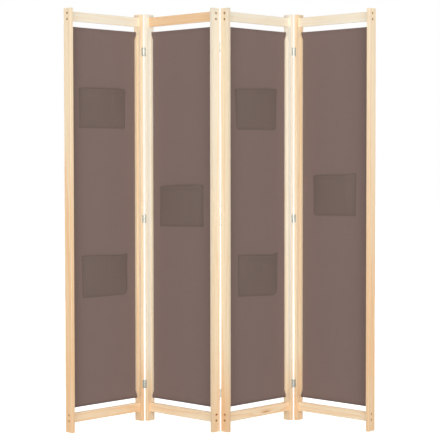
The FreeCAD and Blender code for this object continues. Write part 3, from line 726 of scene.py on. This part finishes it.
def folded_strip():
    """Heights, depths and flat places down the strip, from one raw edge to the other."""
    flap_top = np.linspace(CLOTH_TOP - HEM, CLOTH_TOP - FOLD_RADIUS, FLAP_ROWS, endpoint=False)
    bend = np.linspace(0.0, math.pi, FOLD_ROWS, endpoint=False)
    face = np.linspace(CLOTH_TOP - FOLD_RADIUS, CLOTH_BASE + FOLD_RADIUS, FACE_ROWS, endpoint=False)
    flap_low = np.linspace(CLOTH_BASE + FOLD_RADIUS, CLOTH_BASE + HEM, FLAP_ROWS)
    heights = np.concatenate([
        flap_top,
        CLOTH_TOP - FOLD_RADIUS * (1 - np.sin(bend)),
        face,
        CLOTH_BASE + FOLD_RADIUS * (1 - np.sin(bend)),
        flap_low,
    ])
    depths = np.concatenate([
        np.full(FLAP_ROWS, 2 * FOLD_RADIUS),
        FOLD_RADIUS * (1 + np.cos(bend)),
        np.zeros(FACE_ROWS),
        FOLD_RADIUS * (1 - np.cos(bend)),
        np.full(FLAP_ROWS, 2 * FOLD_RADIUS),
    ])
    steps = np.hypot(np.diff(heights), np.diff(depths))
    return heights, depths, np.concatenate([[0.0], np.cumsum(steps)])


def cloth_slack(panel, along, heights):
    """Slack = a few slanting sine waves, times 1 at the middle and 0 at the held side edges."""
    numbers = np.random.default_rng(CLOTH_SEEDS[panel])
    upward = numbers.uniform(*WAVES_UP, SLACK_WAVES)
    sideways = numbers.uniform(*WAVES_ACROSS, SLACK_WAVES)
    starts = numbers.uniform(0, 2 * math.pi, SLACK_WAVES)
    phases = upward * heights[..., None] + sideways * along[..., None] + starts
    held = 1 - (along / (CLEAR_HALF + CLOTH_TUCK)) ** 2
    return SLACK * held * np.sin(phases).sum(axis=-1)


def panel_cloth(panel):
    """Rows follow the folded strip; its slack dies out at the held side edges."""
    heights, depths, flat_down = folded_strip()
    is_flap = depths > FOLD_RADIUS
    half_widths = np.where(is_flap, CLEAR_HALF - EDGE_CLEARANCE, CLEAR_HALF + CLOTH_TUCK)
    share = np.linspace(-1.0, 1.0, CLOTH_COLUMNS)[None, :]
    along = half_widths[:, None] * share
    held = 1 - share ** 2
    from_top = np.exp(-(CLOTH_TOP - heights) / EDGE_PULL_REACH)[:, None]
    from_base = np.exp(-(heights - CLOTH_BASE) / EDGE_PULL_REACH)[:, None]
    height = heights[:, None] + EDGE_PULL * held * (from_base - from_top)
    depth = CLOTH_DEPTH + depths[:, None] + cloth_slack(panel, along, height)
    points = on_panel(panel, along + PANEL_WIDTH / 2, depth, height)
    flat = np.stack(np.broadcast_arrays(along, flat_down[:, None]), axis=-1)
    hem_zone = np.maximum(heights > CLOTH_TOP - HEM, heights < CLOTH_BASE + HEM)[:, None]
    far_side = along if panel in RIGHT_SIDE_FAR else -along
    # Painted shade: darker beside the far stile and along the folded top and bottom edges
    far_side_shade = eased((far_side - CLEAR_HALF + FAR_SIDE_SHADE_WIDTH) / FAR_SIDE_SHADE_WIDTH)
    edge_shade = np.maximum(from_base, TOP_EDGE_SHADE * from_top) ** EDGE_SHADE_POWER
    layers = np.maximum(np.maximum(HEM_LAYERS * hem_zone, FAR_SIDE_SHADE * far_side_shade), edge_shade)
    piece = sheet_piece(f"{panel}_cloth", points, flat, layers, PANEL_CLOTH)
    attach(piece, panel)
    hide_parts(f"{panel}_fabric")
    print(piece.name, "strip", round(float(flat_down[-1]), 4), "m long")
    return piece, (2 * (CLEAR_HALF + CLOTH_TUCK), float(flat_down[-1]))


panel_cloths = {panel: panel_cloth(panel) for panel in PANELS}

# %% [markdown]
# Stitches are what makes a hem or a seam look sewn. A texture could draw them, but a modelled bead
# also stands up from the cloth. Each is a short bead of thread, a circle whose radius swells and
# shrinks along the stitch, and all stitches of a piece are one mesh: the bead's points are turned
# onto every place of the line at once with array broadcasting.

# %% Stitch beads
STITCH_PITCH = 0.0042
STITCH_LENGTH = 0.0031
THREAD_RADIUS = 0.00030
BEAD_RINGS = 5
BEAD_SIDES = 6
BEAD_END = 0.96
TO_FRONT = np.array([0.0, -1.0, 0.0])


def stitch_bead():
    """Points of one bead along the first axis: radius = thread times root of (1 - share squared)."""
    share = np.linspace(-BEAD_END, BEAD_END, BEAD_RINGS)[:, None]
    turn = np.arange(BEAD_SIDES)[None, :] * (2 * math.pi / BEAD_SIDES)
    radius = THREAD_RADIUS * np.sqrt(1 - share ** 2)
    length = np.broadcast_to(share * STITCH_LENGTH / 2, (BEAD_RINGS, BEAD_SIDES))
    return np.stack([length, radius * np.cos(turn), radius * np.sin(turn)], axis=-1).reshape(-1, 3)


def bead_faces():
    """Squares round the bead, and two squares that close each six-sided end."""
    numbers = np.arange(BEAD_RINGS * BEAD_SIDES).reshape(BEAD_RINGS, BEAD_SIDES)
    following = np.roll(numbers, -1, axis=1)
    round_faces = np.stack([numbers[:-1], numbers[1:], following[1:], following[:-1]], axis=-1)
    half_caps = np.array([[0, 1, 2, 3], [0, 3, 4, 5]])
    first_caps = numbers[0][half_caps]
    last_caps = numbers[-1][half_caps[:, ::-1]]
    return np.concatenate([round_faces.reshape(-1, 4), first_caps, last_caps])


def places_on_line(line, lengths, places):
    """Points of a line of (along, depth, height) points, at given lengths from its start."""
    return np.stack([np.interp(places, lengths, line[:, axis]) for axis in range(3)], axis=-1)


def along_line(line):
    """Stitch middles and directions at even steps on a line."""
    lengths = np.concatenate([[0.0], np.cumsum(np.linalg.norm(np.diff(line, axis=0), axis=1))])
    count = max(1, int(lengths[-1] / STITCH_PITCH))
    places = (np.arange(count) + 0.5) * lengths[-1] / count
    reach = STITCH_LENGTH / 2
    steps = places_on_line(line, lengths, places + reach) - places_on_line(line, lengths, places - reach)
    return places_on_line(line, lengths, places), steps / np.linalg.norm(steps, axis=1, keepdims=True)


def stitch_piece(name, panel, lines, material):
    """One mesh with a bead at every stitch of several lines."""
    found = [along_line(line) for line in lines]
    middles = np.concatenate([item[0] for item in found])
    steps = np.concatenate([item[1] for item in found])
    side = np.cross(steps, TO_FRONT)
    side /= np.linalg.norm(side, axis=1, keepdims=True)
    axes = np.stack([steps, side, np.cross(side, steps)], axis=1)
    bead = stitch_bead()
    points = (middles[:, None, :] + bead[None] @ axes).reshape(-1, 3)
    placed = on_panel(panel, points[:, 0], points[:, 1], points[:, 2])
    starts = np.arange(len(middles)) * len(bead)
    faces = (starts[:, None, None] + bead_faces()[None]).reshape(-1, 4)
    piece = mesh_piece(name, placed, faces, material)
    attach(piece, panel)
    print(name, len(middles), "stitches")
    return piece


# %% [markdown]
# Thread is finer and glossier than the cloth. Its finish only needs the twist of the plies, drawn
# as slanting stripes of painted shade in the grooves between them, on the Object coordinates, which need
# no unwrapping.

# %% Sewing thread
TWIST_SCALE = 900.0
TWIST_WANDER = 1.5


def thread_finish(name, bright, dull):
    """Two tones in slanting stripes, like plies twisted together: painted shade in the grooves between
    them.
    """
    material, tree, shader = new_material(name)
    coordinates = add_node(tree, "ShaderNodeTexCoord").outputs["Object"]
    twist = {"Vector": coordinates, "Scale": TWIST_SCALE, "Distortion": TWIST_WANDER}
    stripes = add_node(tree, "ShaderNodeTexWave", twist, bands_direction="DIAGONAL").outputs["Fac"]
    tone = mix_colours(tree, stripes, bright, dull)
    bump = add_node(tree, "ShaderNodeBump", {"Height": stripes, "Strength": 0.4, "Distance": 0.00005})
    tree.links.new(tone, shader.inputs["Base Color"])
    tree.links.new(bump.outputs["Normal"], shader.inputs["Normal"])
    shader.inputs["Roughness"].default_value = 0.6
    return material


SEWING_THREAD = thread_finish("sewing_thread", linear(98, 84, 77), linear(80, 68, 62))
print("thread finish", SEWING_THREAD.name)

# %% [markdown]
# One line of stitches holds each hem, a little inside the raw edge of its flap. The middle of a
# bead lies just above the face of the cloth, so about a third of the thread is sunk into it.

# %% Hem stitches
BEAD_RISE = 0.00010
STITCH_LIFT = CLOTH_THICKNESS / 2 + BEAD_RISE
HEM_STITCH_INSET = 0.002
HEM_STITCH_ENDS = 0.010
LINE_POINTS = 40


def hem_lines(panel):
    """A straight line of stitches on the face, near the raw edge of each hem."""
    reach = CLEAR_HALF - HEM_STITCH_ENDS
    along = np.linspace(-reach, reach, LINE_POINTS)
    lines = []
    for level in (CLOTH_TOP - HEM + HEM_STITCH_INSET, CLOTH_BASE + HEM - HEM_STITCH_INSET):
        height = np.full_like(along, level)
        depth = CLOTH_DEPTH + cloth_slack(panel, along, height) - STITCH_LIFT
        lines.append(np.stack([along + PANEL_WIDTH / 2, depth, height], axis=-1))
    return lines


for panel in PANELS:
    name = f"{panel}_hem_stitches"
    stitch_piece(name, panel, hem_lines(panel), SEWING_THREAD)

# %% [markdown]
# A pocket is a smaller piece of the same cloth. Its mouth is hemmed, and its other three sides are
# turned in and sewn to the panel. It was cut and sewn by hand, so its corners stray from a true
# rectangle: some bottom corners are rounded off, and some mouths are pulled up at their right end.
# Its corners could be dragged by hand. Here the outline is a four-sided patch, addressed by a share
# across and a share up, so that each pocket is one row of numbers.

# %% Pocket outline
POCKET_SIZE = np.array([0.246, 0.170])
# Millimetres: the mouth's height; how far the corners stray, as (along, up), for top left, top
# right, bottom right and bottom left; the round of the bottom right and bottom left corners; and
# the pull at the right end of the mouth
POCKETS = {
    "panel_1_upper_pocket": (1392, ((-6, -7), (-3, -5), (-4, 3), (-8, 2)), (9, 4), 0),
    "panel_1_lower_pocket": (712, ((3, -5), (6, -13), (7, -7), (6, -6)), (28, 7), 9),
    "panel_2_pocket": (993, ((-11, -7), (-5, 1), (-3, 1), (-12, -4)), (5, 5), 0),
    "panel_3_upper_pocket": (1392, ((-6, -12), (1, -4), (-3, -4), (3, -5)), (14, 18), 0),
    "panel_3_lower_pocket": (712, ((12, -3), (7, -15), (5, -12), (12, -3)), (28, 4), 12),
    "panel_4_pocket": (1040, ((6, -10), (-13, -6), (-14, -3), (8, -7)), (4, 20), 7),
}
MM_PER_METRE = 1000
PULL_START = 0.84
PULL_POWER = 8


def panel_of(pocket):
    """The panel that a pocket is sewn to, which its name starts with."""
    return next(panel for panel in PANELS if pocket.startswith(panel))


def corner_inset(lift, radius):
    """How far a round corner keeps the edge in: r less the root of (r squared less (r - lift) squared)."""
    short = np.clip(radius - lift, 0.0, radius)
    return radius - np.sqrt(radius ** 2 - short ** 2)


def pocket_patch(cut, across, rise):
    """Places on the patch: each corner's weight is its share across times its share up."""
    mouth, strays, rounds, pull = cut
    width, tall = POCKET_SIZE
    lift = rise * tall
    right_in = corner_inset(lift, rounds[0] / MM_PER_METRE) / width
    left_in = corner_inset(lift, rounds[1] / MM_PER_METRE) / width
    spot = left_in + across * (1 - left_in - right_in)
    weights = ((1 - spot) * rise, spot * rise, spot * (1 - rise), (1 - spot) * (1 - rise))
    stray_along = sum(weight * stray[0] for weight, stray in zip(weights, strays)) / MM_PER_METRE
    stray_up = sum(weight * stray[1] for weight, stray in zip(weights, strays)) / MM_PER_METRE
    along = PANEL_WIDTH / 2 + (spot - 0.5) * width + stray_along
    pulled = pull / MM_PER_METRE * eased((spot - PULL_START) / (1 - PULL_START)) * rise ** PULL_POWER
    return along, mouth / MM_PER_METRE - tall + lift + stray_up + pulled


# %% [markdown]
# The front of a pocket is a little slack, so it stands off the panel: nothing at the three seams,
# most in the middle of the open mouth. Cloth physics could find such a shape, but a formula gives
# the same one every time: a product of one curve across and one up, with a few soft upright folds
# added, as an empty pocket has. It is counted from the panel's cloth, so the seams follow that
# cloth's own slack.

# %% Pocket slack
POCKET_SEAM = 0.007
POCKET_GAPE = 0.0065
SIDE_FULLNESS = 3.2
RISE_FULLNESS = 3.0
POCKET_FOLDS = 5
# Least and most of a fold's place across, lean, width and depth
FOLD_LEAST = (0.15, -0.12, 0.03, -0.0007)
FOLD_MOST = (0.85, 0.12, 0.08, 0.0005)


def swell(distance, reach, fullness):
    """1 - (1 - share) to the power of the fullness: steep at the seam, flat in the middle."""
    share = np.clip((distance - POCKET_SEAM) / (reach - POCKET_SEAM), 0.0, 1.0)
    return 1 - (1 - share) ** fullness


def pocket_folds(seed):
    """Soft folds in columns: where they cross, how they lean, how wide and how deep they are."""
    numbers = np.random.default_rng(seed)
    return numbers.uniform(FOLD_LEAST, FOLD_MOST, (POCKET_FOLDS, len(FOLD_LEAST)))


def pocket_gape(across, rise, folds):
    """Stand-off = gape times swell from the sides times swell from the bottom, plus the folds."""
    width, tall = POCKET_SIZE
    side = swell(np.minimum(across, 1 - across) * width, width / 2, SIDE_FULLNESS)
    lift = swell(rise * tall, tall, RISE_FULLNESS)
    middle, lean, spread, size = folds.T
    from_fold = (across[..., None] - middle - lean * (rise[..., None] - 0.5)) / spread
    creases = (size * np.exp(-from_fold ** 2)).sum(axis=-1)
    return (POCKET_GAPE + creases) * side * lift


# %% [markdown]
# The hem of the mouth is folded to the back, so over its height there are two layers, at the side
# seams too. The face is pushed forward by the fold's thickness there and eases back below the hem.

# %% Pockets
POCKET_HEM = 0.019
HEM_EASE = 0.012
POCKET_BACK = 0.0277
POCKET_COLUMNS = 73
POCKET_ROWS = 44
CORNER_ROWS = 16
CORNER_SHARE = 0.18
# How doubled the cloth looks at the seams and in the hem of the mouth, the painted shade along the
# mouth's folded edge, and the widths over which each comes in
SIDE_SEAM_LAYERS = 0.2
LOW_SEAM_LAYERS = 0.3
SEAM_EASE = 0.008
MOUTH_HEM_LAYERS = 0.05
MOUTH_HEM_EASE = 0.002
MOUTH_EDGE_SHADE = 0.15
MOUTH_EDGE_HEIGHT = 0.006
MOUTH_EDGE_EASE = 0.004


def pocket_rows():
    """Shares up the pocket, from the raw edge of the mouth's hem over the fold and down, with setbacks."""
    hem_share = POCKET_HEM / POCKET_SIZE[1]
    fold_share = FOLD_RADIUS / POCKET_SIZE[1]
    flap = np.linspace(1 - hem_share, 1 - fold_share, FLAP_ROWS, endpoint=False)
    bend = np.linspace(0.0, math.pi, FOLD_ROWS, endpoint=False)
    face = np.linspace(1 - fold_share, CORNER_SHARE, POCKET_ROWS, endpoint=False)
    corner = CORNER_SHARE * np.linspace(1.0, 0.0, CORNER_ROWS) ** 2
    shares = np.concatenate([flap, 1 - fold_share * (1 - np.sin(bend)), face, corner])
    setback = np.zeros(len(shares))
    setback[:FLAP_ROWS] = 2 * FOLD_RADIUS
    setback[FLAP_ROWS:FLAP_ROWS + FOLD_ROWS] = FOLD_RADIUS * (1 + np.cos(bend))
    return shares, setback


def face_depth(across, rise, folds):
    """Depth of the pocket's face: its seam level, less the gape and the push of the folded hem."""
    below_hem = (1 - rise) * POCKET_SIZE[1] - POCKET_HEM
    push = 2 * FOLD_RADIUS * (1 - eased(below_hem / HEM_EASE))
    return POCKET_BACK - pocket_gape(across, rise, folds) - push


def pocket_layers_and_shade(across, rise):
    """How doubled the cloth is: turned-in seams at the sides and bottom, and the hem of the mouth; with
    painted shade along the mouth's folded edge.
    """
    width, tall = POCKET_SIZE
    from_side = np.minimum(across, 1 - across) * width
    above_mouth = rise * tall - tall
    side_seam = SIDE_SEAM_LAYERS * (1 - eased((from_side - POCKET_SEAM) / SEAM_EASE))
    low_seam = LOW_SEAM_LAYERS * (1 - eased((rise * tall - POCKET_SEAM) / SEAM_EASE))
    mouth_hem = MOUTH_HEM_LAYERS * eased((above_mouth + POCKET_HEM + MOUTH_HEM_EASE / 2) / MOUTH_HEM_EASE)
    # Painted shade along the folded edge of the mouth
    mouth_edge_shade = MOUTH_EDGE_SHADE * eased((above_mouth + MOUTH_EDGE_HEIGHT) / MOUTH_EDGE_EASE)
    return np.maximum(np.maximum(side_seam, low_seam), np.maximum(mouth_hem, mouth_edge_shade))


def pocket_piece(name, cut, folds):
    """The pocket's sheet, standing forward from the panel's cloth by its gape."""
    shares, setback = pocket_rows()
    across, rise = np.meshgrid(np.linspace(0.0, 1.0, POCKET_COLUMNS), shares)
    panel = panel_of(name)
    along, height = pocket_patch(cut, across, rise)
    behind = cloth_slack(panel, along - PANEL_WIDTH / 2, height)
    depth = face_depth(across, rise, folds) + setback[:, None] + behind
    points = on_panel(panel, along, depth, height)
    steps = np.hypot(np.diff(shares) * POCKET_SIZE[1], np.diff(setback))
    flat_down = np.concatenate([[0.0], np.cumsum(steps)])
    flat = np.stack(np.broadcast_arrays(across * POCKET_SIZE[0], flat_down[:, None]), axis=-1)
    piece = sheet_piece(f"{name}_cloth", points, flat, pocket_layers_and_shade(across, rise), POCKET_CLOTH)
    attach(piece, panel)
    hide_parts(name)
    return piece, (float(POCKET_SIZE[0]), float(flat_down[-1]))


# %% [markdown]
# One seam runs down a side of the pocket, along the bottom and up the other side. A second line
# holds the hem of the mouth.

# %% Pocket seams
SEAM_INSET = 0.004
SEAM_TOP_SHARE = 0.995
MOUTH_POINTS = 80
FIRST_FOLD_SEED = 70


def seam_shares():
    """Shares (across, rise) of the side and bottom seam, and of the hem line."""
    width, tall = POCKET_SIZE
    left, low = SEAM_INSET / width, SEAM_INSET / tall
    down = np.linspace(SEAM_TOP_SHARE, low, LINE_POINTS)
    over = np.linspace(left, 1 - left, LINE_POINTS)
    seam_across = np.concatenate([np.full(LINE_POINTS, left), over, np.full(LINE_POINTS, 1 - left)])
    seam_rise = np.concatenate([down, np.full(LINE_POINTS, low), down[::-1]])
    hem_across = np.linspace(left, 1 - left, MOUTH_POINTS)
    hem_rise = np.full(MOUTH_POINTS, 1 - (POCKET_HEM - HEM_STITCH_INSET) / tall)
    return [(seam_across, seam_rise), (hem_across, hem_rise)]


def pocket_lines(panel, cut, folds):
    """The seam's shares as lines on the pocket's face."""
    lines = []
    for across, rise in seam_shares():
        along, height = pocket_patch(cut, across, rise)
        behind = cloth_slack(panel, along - PANEL_WIDTH / 2, height)
        depth = face_depth(across, rise, folds) + behind - STITCH_LIFT
        lines.append(np.stack([along, depth, height], axis=-1))
    return lines


pocket_sheets, pocket_stitches = {}, {}
for number, (name, cut) in enumerate(POCKETS.items()):
    panel = panel_of(name)
    folds = pocket_folds(FIRST_FOLD_SEED + number)
    pocket_sheets[name] = pocket_piece(name, cut, folds)
    lines = pocket_lines(panel, cut, folds)
    pocket_stitches[name] = stitch_piece(f"{name}_stitches", panel, lines, SEWING_THREAD)

# %% [markdown]
# Each sheet is kept with the size it was cut to, in the tables of panel cloths and pocket sheets,
# and is attached to the panel that holds it.

print("declared", len(panel_cloths) + len(pocket_sheets), "sheets")
